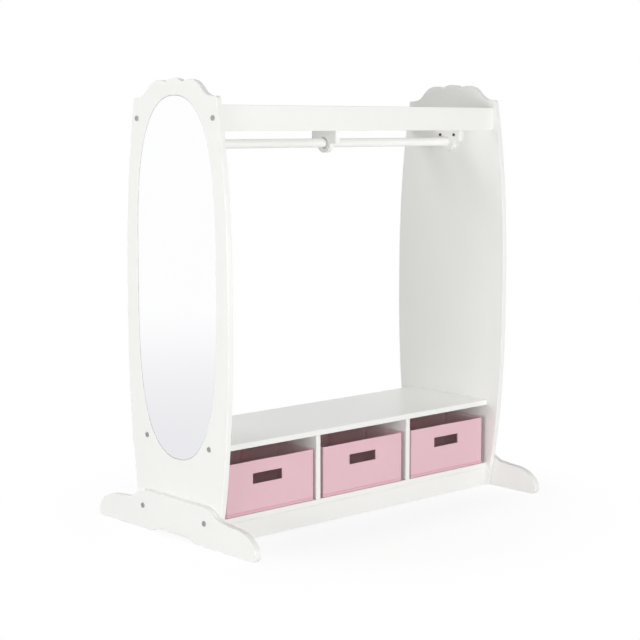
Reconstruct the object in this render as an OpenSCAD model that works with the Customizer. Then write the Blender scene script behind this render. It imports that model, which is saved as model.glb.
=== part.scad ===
// Dress-up storage unit for a child's room. Two barrel-shaped side panels stand on bolted feet,
// with a tall oval mirror let into the left one. A hanging rod runs under two top rails,
// and a low bench below it holds three fabric bins.
// X runs from left to right, Y from front to rear and Z up.
// The origin is on the floor under the middle of the unit.

/* [Overall] */
// Width over the outer faces of the side panels
unit_w = 1050; // [980:5:1150]
// Height over the crowns of the side panels
unit_h = 1191; // [1150:1:1300]

/* [Side panels] */
// Thickness of a side panel
panel_t = 16; // [15:0.5:20]
// Depth of a panel at its widest place
panel_d = 426; // [410:2:450]
// How far the widest place lies above half the height
belly_rise = 1.5; // [-20:0.5:20]
// How far an edge has drawn in at the shoulders
edge_draw = 41.8; // [24:0.2:48]
// Power of the edge's curve, 2 for a plain bow
edge_power = 2.4; // [2:0.1:3]
// Gap between a panel's bottom end and the floor
panel_lift = 2; // [1:0.5:3]
// Distance of the flat shoulders below the crown
shoulder_drop = 47; // [42:1:52]
// Radius of the shoulders' outer corners
shoulder_r = 8; // [4:0.5:14]
// Length of a shoulder's flat top, from the crown's hollow to the round corner
shoulder_flat = 8; // [4:1:24]

/* [Crown] */
// Radius of the middle scallop
crown_r = 68; // [56:1:80]
// Distance of a side scallop's centre from the middle
scallop_y = 63.5; // [58:0.5:68]
// How much lower the side scallops end than the middle one
scallop_drop = 4; // [3:0.5:6]
// Radius of a side scallop
scallop_r = 64; // [58:1:70]

/* [Mirror] */
// Width of the mirror glass
mirror_w = 328; // [300:2:350]
// Height of the mirror's bottom above the floor
mirror_bottom = 206.5; // [205:0.5:260]
// Distance of the mirror's top below the crown
mirror_drop = 44; // [42:0.5:60]
// Roundness of the oval's ends, 2 for an ellipse and more for flatter ends
mirror_end_power = 2.25; // [2:0.05:3]
// Straightness of the oval's long sides, 2 for an ellipse and more for straighter sides
mirror_side_power = 3.4; // [2:0.1:3.6]
// Thickness of the mirror glass
mirror_t = 3; // [2:0.5:4]
// Thickness of board left behind the mirror's recess
recess_floor = 10.5; // [9:0.5:11]
// Gap around the glass in its recess
mirror_gap = 0.9; // [0.3:0.1:1.5]
// Thickness of the adhesive tape behind the glass
tape_t = 1; // [0.5:0.1:1.5]
// Width of a strip of tape
tape_w = 25; // [15:1:40]
// Length of a strip of tape
tape_l = 200; // [120:5:220]
// Distance between strips of tape
tape_pitch = 200; // [150:5:220]

/* [Feet] */
// Length of a foot from toe to toe
foot_l = 672; // [620:2:720]
// Thickness of a foot board
foot_t = 18; // [15:0.5:22]
// Height of a foot along its flat middle
foot_h = 105; // [95:1:120]
// Length of the flat middle
foot_flat_l = 250; // [220:2:280]
// Length of the foot between the lower ends of its two hollows
foot_step_l = 410; // [380:2:440]
// Height of the toe just past the hollow
toe_h = 76; // [65:1:82]
// Height at which the toe's nose starts
nose_h = 72; // [60:1:74]
// Length of the toe's nose
nose_l = 90; // [60:1:96]
// Radius of the toe's lower corner
toe_r = 16; // [8:1:24]
// Width of the arch under a foot
arch_w = 194; // [150:2:220]
// Height of the arch under a foot
arch_h = 19; // [14:1:28]

/* [Top rails] */
// Distance of a rail's top edge below the shoulders
rail_drop = 22; // [15:1:32]
// Height of a rail board
rail_h = 65; // [60:1:75]
// Thickness of a rail board
rail_t = 16; // [15:0.5:20]
// Setback of a rail's face from the panel's edge
rail_set = 13.5; // [8:0.5:20]

/* [Hanging rod] */
// Diameter of the rod
rod_d = 25; // [22:0.5:28]
// Distance of the rod's axis below the rails
rod_drop = 34; // [29:1:38]
// Gap between the rod and its sockets, on the radius
rod_play = 0.3; // [0.2:0.05:0.5]
// Diameter of the wide hole in the middle hanger
hanger_hole_d = 31; // [29:0.5:33]
// Width of the hanger and of the end blocks
hanger_w = 98; // [92:1:110]
// Radius of the round lobe under the rod
lobe_r = 27; // [24:0.5:29]
// Radius of the hollow beside the lobe
lobe_hollow_r = 10; // [6:0.5:12]
// Thickness of the hanger plate
hanger_t = 16; // [14:0.5:20]
// How much lower than the rails the hanger's cross arm ends
arm_drop = 15; // [8:1:25]
// Thickness of an end block
block_t = 16; // [14:0.5:20]
// How far an end block rises above the rails' bottom edges
block_rise = 20; // [12:1:30]
// Depth of the socket in an end block
socket_d = 12; // [9:0.5:13]
// Play of the rod along its length at each end
rod_end_gap = 0.5; // [0.3:0.1:1]

/* [Bench] */
// Depth of the bench top and the shelf
bench_d = 318; // [300:2:326]
// Height of the bench's top face
bench_z = 260; // [250:1:280]
// Thickness of the bench top
bench_t = 15; // [14:0.5:18]
// Height of the shelf's top face
shelf_z = 70; // [66:1:74]
// Thickness of the shelf
shelf_t = 15; // [14:0.5:18]
// Thickness of an apron board
apron_t = 15; // [12:0.5:18]
// Gap between an apron and the floor
apron_lift = 4; // [3:0.5:6]
// Thickness of a divider
divider_t = 15; // [12:0.5:18]
// Thickness of the back panel
back_t = 5; // [3:0.5:6]
// Distance of the back panel's edges inside the bench top and the shelf
back_set = 2; // [1:0.5:4]

/* [Bins] */
// Height of a bin
bin_h = 138.5; // [120:0.5:150]
// Side play of a bin in its bay, both sides together
bin_play = 27.8; // [20:0.2:40]
// Gap between a bin and the shelf under it
bin_rest = 0.3; // [0.2:0.1:0.5]
// Distance of a bin's front behind the shelf's front edge
bin_set = 2; // [0:0.5:6]
// Gap between a bin and the back panel
bin_rear_gap = 16; // [8:1:30]
// Thickness of a bin's walls
bin_wall = 4; // [3:0.5:6]
// Thickness of a bin's fabric floor
bin_floor = 3; // [2:0.5:4]
// Thickness of the stiff board in a bin
bin_board_t = 3; // [2:0.5:4]
// Gap around that board
bin_board_gap = 1; // [0.5:0.5:3]
// Width of the handle slot
slot_w = 101; // [80:1:120]
// Height of the handle slot
slot_h = 28; // [22:1:32]
// Height of the slot's middle above the bin's bottom
slot_z = 91; // [85:1:95]

/* [Fasteners] */
// Diameter of a connector bolt
bolt_d = 6; // [5:0.5:7]
// Diameter of a bolt's flat head
bolt_head_d = 14; // [12:0.5:17]
// Thickness of a bolt's head
bolt_head_h = 2; // [1.5:0.25:3]
// Width across flats of a bolt's socket
bolt_key = 4; // [3:0.5:5]
// How far a bolt reaches into a board's end
bolt_reach = 44; // [42:1:55]
// Distance of a bolt's axis from the bench's and the shelf's long edges
bolt_in = 27; // [22:1:35]
// Diameter of a barrel nut
nut_d = 10; // [9:0.5:12]
// Length of a barrel nut
nut_l = 11; // [9:0.5:12]
// Distance of a barrel nut from the board's end
nut_in = 34; // [30:1:36]
// Clearance round bolts, nuts, dowels, screws and nails, on the diameter
hole_play = 0.3; // [0.2:0.05:0.5]
// Diameter of a dowel
dowel_d = 8; // [6:0.5:9]
// Length of a dowel inside the panel
dowel_in = 6; // [5:0.5:6.5]
// Length of a dowel inside the board
dowel_out = 22; // [16:1:26]
// Distance between the two dowels in a rail's end
rail_dowel_pitch = 40; // [34:1:44]
// Distance between the two dowels in the bench's end
bench_dowel_pitch = 216; // [214:1:224]
// Distance between the two dowels in the shelf's end
shelf_dowel_pitch = 120; // [80:2:160]
// Distance between the two dowels in a divider's end
divider_dowel_pitch = 176; // [120:4:220]
// Distance between the two dowels in the hanger's arm
arm_dowel_pitch = 26; // [18:1:30]
// Distance between the two dowels in a foot
foot_dowel_pitch = 50; // [40:2:80]
// Height of the dowels in a foot
foot_dowel_z = 85; // [80:1:88]
// Diameter of a thin dowel
thin_dowel_d = 6; // [5:0.5:8]
// Length of each half of a thin dowel
thin_dowel_in = 8; // [6:0.5:9]
// Diameter of an end block's screw
screw_d = 4; // [3.5:0.25:5]
// Diameter of that screw's head
screw_head_d = 8.5; // [7:0.5:10]
// Height of that screw's head
screw_head_h = 2.5; // [2:0.25:3]
// Length of that screw inside the panel
screw_in = 5.5; // [4:0.5:6]
// Distance between an end block's two screws
screw_pitch = 55; // [48:1:64]
// Height of the screws above the rod's axis
screw_rise = 20.5; // [19:0.5:24]
// Diameter of a back panel nail
nail_d = 1.6; // [1.2:0.1:2]
// Diameter of a nail's head
nail_head_d = 4; // [3:0.5:5]
// Thickness of a nail's head
nail_head_h = 0.8; // [0.5:0.1:1.2]
// Length of a nail inside the board
nail_in = 14; // [10:1:18]
// Number of nails along each long edge
nail_count = 6; // [4:1:9]
// Distance of the outer nails from the side panels
nail_edge = 40; // [20:5:80]

/* [Hidden] */
$fn = 64;

painted = [0.95, 0.95, 0.94];
fabric_pink = [0.89, 0.73, 0.77];
bare_wood = [0.84, 0.72, 0.54];
dark_steel = [0.30, 0.30, 0.31];
sides = [-1, 1];
cut = 1;             // how far a cut runs past the face it opens
edge_steps = 40;     // segments along a panel's curved edge
oval_steps = 144;    // segments round the mirror
step_steps = 12;     // segments along a hollow of a foot
nose_steps = 12;     // segments along a toe's nose
toe_steps = 8;       // segments round a toe's lower corner

// Sizes that follow from the values above
belly_z = unit_h / 2 + belly_rise;
shoulder_z = unit_h - shoulder_drop;
mirror_h = unit_h - mirror_drop - mirror_bottom;
mirror_z = mirror_bottom + mirror_h / 2;
recess_d = panel_t - recess_floor;
inner_x = unit_w / 2 - panel_t;
inner_w = 2 * inner_x;
bay_w = (inner_w - 2 * divider_t) / 3;
divider_x = (bay_w + divider_t) / 2;
bays = [-(bay_w + divider_t), 0, bay_w + divider_t];
// How far each bin stands from the middle of its bay, as a share of half its play
bin_lean = [0.37, -0.12, -0.46];
// How far each handle slot is cut from the middle of its bin
slot_shift = [-11, -2.5, -4.5];
bin_w = bay_w - bin_play;
bin_d = bench_d - bin_set - bin_rear_gap;
bin_front = -bench_d / 2 + bin_set;
bin_bottom = shelf_z + bin_rest;
rail_top = shoulder_z - rail_drop;
rail_bottom = rail_top - rail_h;
rail_z = rail_top - rail_h / 2;
rod_z = rail_bottom - rod_drop;
rail_face = half_depth(rail_z) - rail_set;
rail_y = rail_face - rail_t / 2;
board_bolt_y = bench_d / 2 - bolt_in;
bench_mid = bench_z - bench_t / 2;
bench_under = bench_z - bench_t;
shelf_mid = shelf_z - shelf_t / 2;
shelf_under = shelf_z - shelf_t;
apron_y = (bench_d - apron_t) / 2;
apron_mid = (apron_lift + shelf_under) / 2;
arm_top = rail_top - arm_drop;
arm_mid = (arm_top + rail_bottom) / 2;
screw_z = rod_z + screw_rise;
scallop_z = unit_h - scallop_drop - scallop_r;

// Half the depth of a side panel at height z
function half_depth(z) =
    panel_d / 2 - edge_draw * pow(abs(z - belly_z) / (shoulder_z - belly_z), edge_power);

// Height of a foot's top edge at distance y from its middle, up to the start of the nose
function foot_top(y) =
    y <= foot_flat_l / 2 ? foot_h :
    toe_h + (foot_h - toe_h) * (1 + cos(180 * (y - foot_flat_l / 2) / ((foot_step_l - foot_flat_l) / 2))) / 2;

// A point of the mirror's oval at angle a, with the outline moved outwards by grow
function signed_pow(v, p) = sign(v) * pow(abs(v), p);
function oval_point(a, grow) = [(mirror_w / 2 + grow) * signed_pow(cos(a), 2 / mirror_end_power),
                                (mirror_h / 2 + grow) * signed_pow(sin(a), 2 / mirror_side_power)];

// A flat outline with Y to the right and Z up, drawn as a board of thickness t from x on
module side_board(x, t) translate([x, 0, 0]) rotate([90, 0, 90]) linear_extrude(t) children();

// A cylinder along X, from x0 to x1
module bar_x(d, x0, x1, y, z) translate([min(x0, x1), y, z]) rotate([0, 90, 0])
    cylinder(d = d, h = abs(x1 - x0));

// A cylinder along Y, from y0 to y1
module bar_y(d, y0, y1, x, z) translate([x, max(y0, y1), z]) rotate([90, 0, 0])
    cylinder(d = d, h = abs(y1 - y0));

// A cylinder along Z, from z0 to z1
module bar_z(d, z0, z1, x, y) translate([x, y, z0]) cylinder(d = d, h = z1 - z0);

// ---- Side panels

// Points along an arc round [cy, cz] from angle a0 to a1
function arc(cy, cz, r, a0, a1, n) =
    [for (i = [0:n]) let (a = a0 + (a1 - a0) * i / n) [cy + r * cos(a), cz + r * sin(a)]];

// A closed outline from the points of its right half, listed from the top middle downwards
module mirrored_outline(right) {
    n = len(right);
    polygon(concat(right, [for (i = [n - 1:-1:0]) if (right[i][0] > 0) [-right[i][0], right[i][1]]]));
}

// Distance from the middle at which a shoulder's flat top turns into its round corner
function shoulder_corner() = half_depth(shoulder_z - shoulder_r) - shoulder_r;

// The crown's right half: middle scallop, side scallop, then the hollow down to the shoulder,
// whose radius makes it meet both the side scallop and the flat top smoothly
function crown_half() = let (
    middle_z = unit_h - crown_r,
    apart = norm([scallop_y, scallop_z - middle_z]),
    along = (crown_r * crown_r - scallop_r * scallop_r + apart * apart) / (2 * apart),
    notch_turn = acos(along / crown_r) + atan2(scallop_z - middle_z, scallop_y),
    notch = [crown_r * cos(notch_turn), middle_z + crown_r * sin(notch_turn)],
    out = shoulder_corner() - shoulder_flat - scallop_y,
    rise = shoulder_z - scallop_z,
    hollow_r = (out * out + rise * rise - scallop_r * scallop_r) / (2 * (scallop_r - rise)),
    touch_turn = atan2(rise + hollow_r, out))
    concat(arc(0, middle_z, crown_r, 90, notch_turn, 10),
           arc(scallop_y, scallop_z, scallop_r, atan2(notch[1] - scallop_z, notch[0] - scallop_y),
               touch_turn, 14),
           arc(scallop_y + out, shoulder_z + hollow_r, hollow_r, 180 + touch_turn, 270, 10));

// The panel's right edge from the shoulder's round corner down to its bottom end
function edge_half() = let (top = shoulder_z - shoulder_r)
    concat(arc(shoulder_corner(), top, shoulder_r, 90, 0, 6),
           [for (i = [1:edge_steps]) let (z = top + (panel_lift - top) * i / edge_steps) [half_depth(z), z]]);

module panel_outline() mirrored_outline(concat(crown_half(), edge_half()));

module oval_outline(grow = 0) translate([0, mirror_z])
    polygon([for (i = [0:oval_steps - 1]) oval_point(360 * i / oval_steps, grow)]);

// Every hole that a panel at side s has for bolts, dowels and screws
module panel_holes(s) {
    outer = s * unit_w / 2;
    inner = s * inner_x;
    through = [outer + s * cut, inner - s * cut];
    for (q = sides) {
        bar_x(bolt_d + hole_play, through[0], through[1], q * rail_y, rail_z);
        bar_x(bolt_d + hole_play, through[0], through[1], q * board_bolt_y, bench_mid);
        bar_x(bolt_d + hole_play, through[0], through[1], q * board_bolt_y, shelf_mid);
        panel_dowel_hole(s, q * bench_dowel_pitch / 2, bench_mid);
        panel_dowel_hole(s, q * shelf_dowel_pitch / 2, shelf_mid);
        panel_dowel_hole(s, q * apron_y, apron_mid);
        for (r = sides) panel_dowel_hole(s, q * rail_y, rail_z + r * rail_dowel_pitch / 2);
        bar_x(screw_d + hole_play, inner - s * cut, inner + s * (screw_in + hole_play),
              q * screw_pitch / 2, screw_z);
        bar_x(dowel_d + hole_play, outer + s * cut, outer - s * (dowel_in + hole_play),
              q * foot_dowel_pitch / 2, foot_dowel_z);
    }
}

module panel_dowel_hole(s, y, z)
    bar_x(dowel_d + hole_play, s * (inner_x - cut), s * (inner_x + dowel_in + hole_play), y, z);

module left_side_panel() color(painted) difference() {
    side_board(-unit_w / 2, panel_t) panel_outline();
    side_board(-unit_w / 2 - cut, recess_d + cut) oval_outline(mirror_gap);
    panel_holes(-1);
}

module right_side_panel() color(painted) difference() {
    side_board(inner_x, panel_t) panel_outline();
    panel_holes(1);
}

// ---- Mirror, on tape at the bottom of its recess

module mirror_glass() color([0.85, 0.87, 0.90])
    side_board(-unit_w / 2 + recess_d - tape_t - mirror_t, mirror_t) oval_outline();

module mirror_tapes() color([0.92, 0.92, 0.90])
    for (i = [-1:1])
        translate([-unit_w / 2 + recess_d - tape_t, -tape_l / 2, mirror_z + i * tape_pitch - tape_w / 2])
            cube([tape_t, tape_l, tape_w]);

// ---- Feet, bolted outside the panels

module foot_outline() {
    hollow_l = (foot_step_l - foot_flat_l) / 2;
    hollow = [for (i = [0:step_steps]) let (y = foot_flat_l / 2 + hollow_l * i / step_steps)
              [y, foot_top(y)]];
    nose = [for (i = [nose_steps:-1:0]) let (a = 90 * i / nose_steps)
            [foot_l / 2 - nose_l * (1 - cos(a)), toe_r + (nose_h - toe_r) * sin(a)]];
    heel = [for (i = [1:toe_steps]) let (a = 90 * i / toe_steps)
            [foot_l / 2 - toe_r * (1 - cos(a)), toe_r * (1 - sin(a))]];
    arch_r = (arch_w * arch_w / 4 + arch_h * arch_h) / (2 * arch_h);
    difference() {
        mirrored_outline(concat(hollow, nose, heel));
        translate([0, arch_h - arch_r]) circle(arch_r, $fn = 180);
    }
}

module foot(s) color(painted) difference() {
    outer = s * (unit_w / 2 + foot_t);
    side_board(min(s * unit_w / 2, outer), foot_t) foot_outline();
    for (q = sides) {
        bar_x(bolt_d + hole_play, outer + s * cut, s * (unit_w / 2 - cut), q * board_bolt_y, shelf_mid);
        bar_x(dowel_d + hole_play, s * (unit_w / 2 - cut), s * (unit_w / 2 + foot_t - dowel_in),
              q * foot_dowel_pitch / 2, foot_dowel_z);
    }
}
module left_foot() foot(-1);
module right_foot() foot(1);

// ---- Holes in the ends of a board that is held between the panels

module end_bolt_hole(s, y, z)
    bar_x(bolt_d + hole_play, s * (inner_x + cut), s * (inner_x - bolt_reach - cut), y, z);

module end_dowel_hole(s, y, z)
    bar_x(dowel_d + hole_play, s * (inner_x + cut), s * (inner_x - dowel_out - hole_play), y, z);

// ---- Top rails

module top_rail(q) color(painted) difference() {
    translate([-inner_x, q * rail_y - rail_t / 2, rail_bottom]) cube([inner_w, rail_t, rail_h]);
    for (s = sides) {
        end_bolt_hole(s, q * rail_y, rail_z);
        bar_y(nut_d + hole_play, q * (rail_face - rail_t - cut), q * (rail_y + nut_l / 2 + hole_play),
              s * (inner_x - nut_in), rail_z);
        for (r = sides) end_dowel_hole(s, q * rail_y, rail_z + r * rail_dowel_pitch / 2);
    }
    for (r = sides) bar_y(thin_dowel_d + hole_play, q * (rail_face - rail_t - cut),
        q * (rail_face - rail_t + thin_dowel_in + hole_play), 0, arm_mid + r * arm_dowel_pitch / 2);
}
module front_top_rail() top_rail(-1);
module rear_top_rail() top_rail(1);

// ---- Rod, hanger and end blocks

// The right half of a plate whose lower edge swells into a round lobe under the rod
function lobed_half() = let (
    turn = asin(lobe_hollow_r / (lobe_r + lobe_hollow_r)),
    hollow_y = (lobe_r + lobe_hollow_r) * cos(turn))
    concat([[hanger_w / 2, rod_z]],
           arc(hollow_y, rod_z - lobe_hollow_r, lobe_hollow_r, 90, 180 - turn, 6),
           arc(0, rod_z, lobe_r, -turn, -90, 12));

module rod_hanger() color(painted) {
    arm_end = rail_face - rail_t;
    arm = [[arm_end, arm_top], [arm_end, rail_bottom], [hanger_w / 2, rail_bottom]];
    difference() {
        side_board(-hanger_t / 2, hanger_t) mirrored_outline(concat(arm, lobed_half()));
        bar_x(hanger_hole_d, -hanger_t, hanger_t, 0, rod_z);
        for (q = sides, r = sides)
            bar_y(thin_dowel_d + hole_play, q * (arm_end + cut), q * (arm_end - thin_dowel_in - hole_play),
                  0, arm_mid + r * arm_dowel_pitch / 2);
    }
}

module rod_block(s) color(painted) difference() {
    side_board(min(s * inner_x, s * (inner_x - block_t)), block_t)
        mirrored_outline(concat([[hanger_w / 2, rail_bottom + block_rise]], lobed_half()));
    bar_x(rod_d + 2 * rod_play, s * (inner_x - block_t - cut), s * (inner_x - block_t + socket_d), 0, rod_z);
    for (q = sides)
        bar_x(screw_d + hole_play, s * (inner_x + cut), s * (inner_x - block_t - cut),
              q * screw_pitch / 2, screw_z);
}
module left_rod_block() rod_block(-1);
module right_rod_block() rod_block(1);

module hanging_rod() color(painted) {
    half = inner_x - block_t + socket_d - rod_end_gap;
    bar_x(rod_d, -half, half, 0, rod_z);
}

// ---- Bench, shelf, aprons, back and dividers

// A board of the bench between the panels, with its bolts, barrel nuts and dowels at both ends
module bench_board(top, t, dowel_pitch) difference() {
    mid = top - t / 2;
    translate([-inner_x, -bench_d / 2, top - t]) cube([inner_w, bench_d, t]);
    for (s = sides, q = sides) {
        end_bolt_hole(s, q * board_bolt_y, mid);
        bar_z(nut_d + hole_play, top - t - cut, mid + nut_l / 2 + hole_play,
              s * (inner_x - nut_in), q * board_bolt_y);
        end_dowel_hole(s, q * dowel_pitch / 2, mid);
    }
    for (x = nail_places())
        bar_y(nail_d + hole_play, bench_d / 2 + cut, bench_d / 2 - nail_in - hole_play, x, mid);
}

function nail_places() = [for (i = [0:nail_count - 1])
    -inner_x + nail_edge + (inner_w - 2 * nail_edge) * i / (nail_count - 1)];

module bench_top() color(painted) difference() {
    bench_board(bench_z, bench_t, bench_dowel_pitch);
    for (s = sides, q = sides) bar_z(thin_dowel_d + hole_play, bench_under - cut,
        bench_under + thin_dowel_in + hole_play, s * divider_x, q * divider_dowel_pitch / 2);
}

module bottom_shelf() color(painted) difference() {
    bench_board(shelf_z, shelf_t, shelf_dowel_pitch);
    for (s = sides, q = sides) bar_z(thin_dowel_d + hole_play, shelf_z - thin_dowel_in - hole_play,
        shelf_z + cut, s * divider_x, q * divider_dowel_pitch / 2);
}

module apron(q) color(painted) difference() {
    translate([-inner_x, q * apron_y - apron_t / 2, apron_lift])
        cube([inner_w, apron_t, shelf_under - apron_lift]);
    for (s = sides) end_dowel_hole(s, q * apron_y, apron_mid);
}
module front_apron() apron(-1);
module rear_apron() apron(1);

module back_panel() color(painted) difference() {
    translate([-inner_x, bench_d / 2, shelf_under + back_set])
        cube([inner_w, back_t, bench_z - shelf_under - 2 * back_set]);
    for (x = nail_places(), z = [shelf_mid, bench_mid])
        bar_y(nail_d + hole_play, bench_d / 2 - cut, bench_d / 2 + back_t + cut, x, z);
}

module divider(s) color(painted) difference() {
    translate([s * divider_x - divider_t / 2, -bench_d / 2, shelf_z])
        cube([divider_t, bench_d, bench_under - shelf_z]);
    for (q = sides) {
        bar_z(thin_dowel_d + hole_play, shelf_z - cut, shelf_z + thin_dowel_in + hole_play,
              s * divider_x, q * divider_dowel_pitch / 2);
        bar_z(thin_dowel_d + hole_play, bench_under - thin_dowel_in - hole_play, bench_under + cut,
              s * divider_x, q * divider_dowel_pitch / 2);
    }
}
module left_divider() divider(-1);
module right_divider() divider(1);

// ---- Fabric bins

function bin_x(i) = bays[i] + bin_lean[i] * bin_play / 2;

module bin_shell(i) color(fabric_pink) translate([bin_x(i), bin_front, bin_bottom]) difference() {
    translate([-bin_w / 2, 0, 0]) cube([bin_w, bin_d, bin_h]);
    translate([-bin_w / 2 + bin_wall, bin_wall, bin_floor])
        cube([bin_w - 2 * bin_wall, bin_d - 2 * bin_wall, bin_h]);
    translate([slot_shift[i] - slot_w / 2, -cut, slot_z - slot_h / 2])
        cube([slot_w, bin_wall + 2 * cut, slot_h]);
}
module left_bin() bin_shell(0);
module middle_bin() bin_shell(1);
module right_bin() bin_shell(2);

module bin_base(i) color([0.80, 0.62, 0.67]) {
    inset = bin_wall + bin_board_gap;
    translate([bin_x(i) - bin_w / 2 + inset, bin_front + inset, bin_bottom + bin_floor])
        cube([bin_w - 2 * inset, bin_d - 2 * inset, bin_board_t]);
}
module left_bin_base() bin_base(0);
module middle_bin_base() bin_base(1);
module right_bin_base() bin_base(2);

// ---- Fasteners

// A bolt along X whose head lies on the face at distance face from the middle
module connector_bolt(s, face, y, z) {
    difference() {
        bar_x(bolt_head_d, s * face, s * (face + bolt_head_h), y, z);
        translate([s * (face + bolt_head_h / 2), y, z]) rotate([0, s * 90, 0])
            cylinder(d = bolt_key / cos(30), h = bolt_head_h, $fn = 6);
    }
    bar_x(bolt_d, s * face, s * (inner_x - bolt_reach), y, z);
}

module rail_bolts() color(dark_steel) for (s = sides, q = sides)
    connector_bolt(s, unit_w / 2, q * rail_y, rail_z);
module bench_bolts() color(dark_steel) for (s = sides, q = sides)
    connector_bolt(s, unit_w / 2, q * board_bolt_y, bench_mid);
module foot_bolts() color(dark_steel) for (s = sides, q = sides)
    connector_bolt(s, unit_w / 2 + foot_t, q * board_bolt_y, shelf_mid);

module nut_bore(s, y, z)
    bar_x(bolt_d + hole_play, s * (inner_x - nut_in - nut_d), s * (inner_x - nut_in + nut_d), y, z);

module rail_barrel_nuts() color(dark_steel) for (s = sides, q = sides) difference() {
    bar_y(nut_d, q * rail_y - nut_l / 2, q * rail_y + nut_l / 2, s * (inner_x - nut_in), rail_z);
    nut_bore(s, q * rail_y, rail_z);
}

module board_nuts(z) color(dark_steel) for (s = sides, q = sides) difference() {
    bar_z(nut_d, z - nut_l / 2, z + nut_l / 2, s * (inner_x - nut_in), q * board_bolt_y);
    nut_bore(s, q * board_bolt_y, z);
}
module bench_barrel_nuts() board_nuts(bench_mid);
module shelf_barrel_nuts() board_nuts(shelf_mid);

module end_dowel(s, y, z) bar_x(dowel_d, s * (inner_x + dowel_in), s * (inner_x - dowel_out), y, z);

module rail_dowels() color(bare_wood) for (s = sides, q = sides, r = sides)
    end_dowel(s, q * rail_y, rail_z + r * rail_dowel_pitch / 2);
module bench_dowels() color(bare_wood) for (s = sides, q = sides)
    end_dowel(s, q * bench_dowel_pitch / 2, bench_mid);
module shelf_dowels() color(bare_wood) for (s = sides, q = sides)
    end_dowel(s, q * shelf_dowel_pitch / 2, shelf_mid);
module apron_dowels() color(bare_wood) for (s = sides, q = sides) end_dowel(s, q * apron_y, apron_mid);

module divider_dowels() color(bare_wood) for (s = sides, q = sides, z = [shelf_z, bench_under])
    bar_z(thin_dowel_d, z - thin_dowel_in, z + thin_dowel_in, s * divider_x, q * divider_dowel_pitch / 2);

module hanger_dowels() color(bare_wood) for (q = sides, r = sides)
    bar_y(thin_dowel_d, q * (rail_face - rail_t - thin_dowel_in), q * (rail_face - rail_t + thin_dowel_in),
          0, arm_mid + r * arm_dowel_pitch / 2);

module foot_dowels() color(bare_wood) for (s = sides, q = sides)
    bar_x(dowel_d, s * (unit_w / 2 - dowel_in), s * (unit_w / 2 + dowel_in),
          q * foot_dowel_pitch / 2, foot_dowel_z);

module rod_block_screws() color(dark_steel) for (s = sides, q = sides) {
    face = inner_x - block_t;
    bar_x(screw_d, s * (inner_x + screw_in), s * face, q * screw_pitch / 2, screw_z);
    bar_x(screw_head_d, s * face, s * (face - screw_head_h), q * screw_pitch / 2, screw_z);
}

module back_panel_nails() color(dark_steel) for (x = nail_places(), z = [shelf_mid, bench_mid]) {
    bar_y(nail_d, bench_d / 2 - nail_in, bench_d / 2 + back_t, x, z);
    bar_y(nail_head_d, bench_d / 2 + back_t, bench_d / 2 + back_t + nail_head_h, x, z);
}

left_side_panel();
right_side_panel();
mirror_glass();
mirror_tapes();
left_foot();
right_foot();
front_top_rail();
rear_top_rail();
rod_hanger();
left_rod_block();
right_rod_block();
hanging_rod();
bench_top();
bottom_shelf();
front_apron();
rear_apron();
back_panel();
left_divider();
right_divider();
left_bin();
middle_bin();
right_bin();
left_bin_base();
middle_bin_base();
right_bin_base();
rail_bolts();
bench_bolts();
foot_bolts();
rail_barrel_nuts();
bench_barrel_nuts();
shelf_barrel_nuts();
rail_dowels();
bench_dowels();
shelf_dowels();
apron_dowels();
divider_dowels();
hanger_dowels();
foot_dowels();
rod_block_screws();
back_panel_nails();
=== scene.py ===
import math

import bmesh
import bpy
from mathutils import Matrix, Vector, noise


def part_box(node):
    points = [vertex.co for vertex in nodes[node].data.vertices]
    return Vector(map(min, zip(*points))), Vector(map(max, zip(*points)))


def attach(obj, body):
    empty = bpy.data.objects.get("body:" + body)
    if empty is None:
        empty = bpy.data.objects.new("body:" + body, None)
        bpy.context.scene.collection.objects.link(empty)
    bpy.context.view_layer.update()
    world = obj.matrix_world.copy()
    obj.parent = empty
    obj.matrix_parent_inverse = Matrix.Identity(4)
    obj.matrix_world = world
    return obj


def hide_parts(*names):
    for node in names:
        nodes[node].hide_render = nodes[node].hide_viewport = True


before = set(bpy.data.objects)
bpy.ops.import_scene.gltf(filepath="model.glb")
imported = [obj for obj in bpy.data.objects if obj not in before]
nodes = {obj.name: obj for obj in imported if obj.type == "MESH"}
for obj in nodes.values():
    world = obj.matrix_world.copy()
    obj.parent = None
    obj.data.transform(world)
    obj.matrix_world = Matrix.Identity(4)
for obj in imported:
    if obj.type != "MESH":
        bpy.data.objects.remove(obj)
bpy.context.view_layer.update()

print("frame loaded:", len(nodes), "nodes")


# small helpers for shader trees

def setInputs(tree, node, **inputs):  # values or links, by an input's name or as i0, i1 by its place
    for name, value in inputs.items():
        key = int(name[1:]) if name[0] == "i" and name[1:].isdigit() else name.replace("_", " ")
        if isinstance(value, bpy.types.NodeSocket):
            tree.links.new(value, node.inputs[key])
        else:
            node.inputs[key].default_value = value
    return node


def put(tree, kind, settings=None, **inputs):  # a new node with its settings and its inputs
    node = tree.nodes.new(kind)
    for name, value in (settings or {}).items():
        setattr(node, name, value)
    return setInputs(tree, node, **inputs)


def calc(tree, operation, a, b=0.0, c=0.0):
    return put(tree, "ShaderNodeMath", {"operation": operation}, i0=a, i1=b, i2=c).outputs[0]


def blendValue(tree, a, b, share):  # the share is how much of b comes through
    return calc(tree, "MULTIPLY_ADD", a, 1 - share, calc(tree, "MULTIPLY", b, share))


def blendColor(tree, factor, a, b):
    return put(tree, "ShaderNodeMix", {"data_type": "RGBA"}, i0=factor, i6=a, i7=b).outputs[2]


def remap(tree, value, start, end, low=0.0, high=1.0, way="LINEAR"):  # clamped at both ends
    return put(tree, "ShaderNodeMapRange", {"interpolation_type": way, "clamp": True}, Value=value,
               From_Min=start, From_Max=end, To_Min=low, To_Max=high).outputs[0]


def objectPlace(tree):
    return put(tree, "ShaderNodeTexCoord").outputs["Object"]


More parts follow.
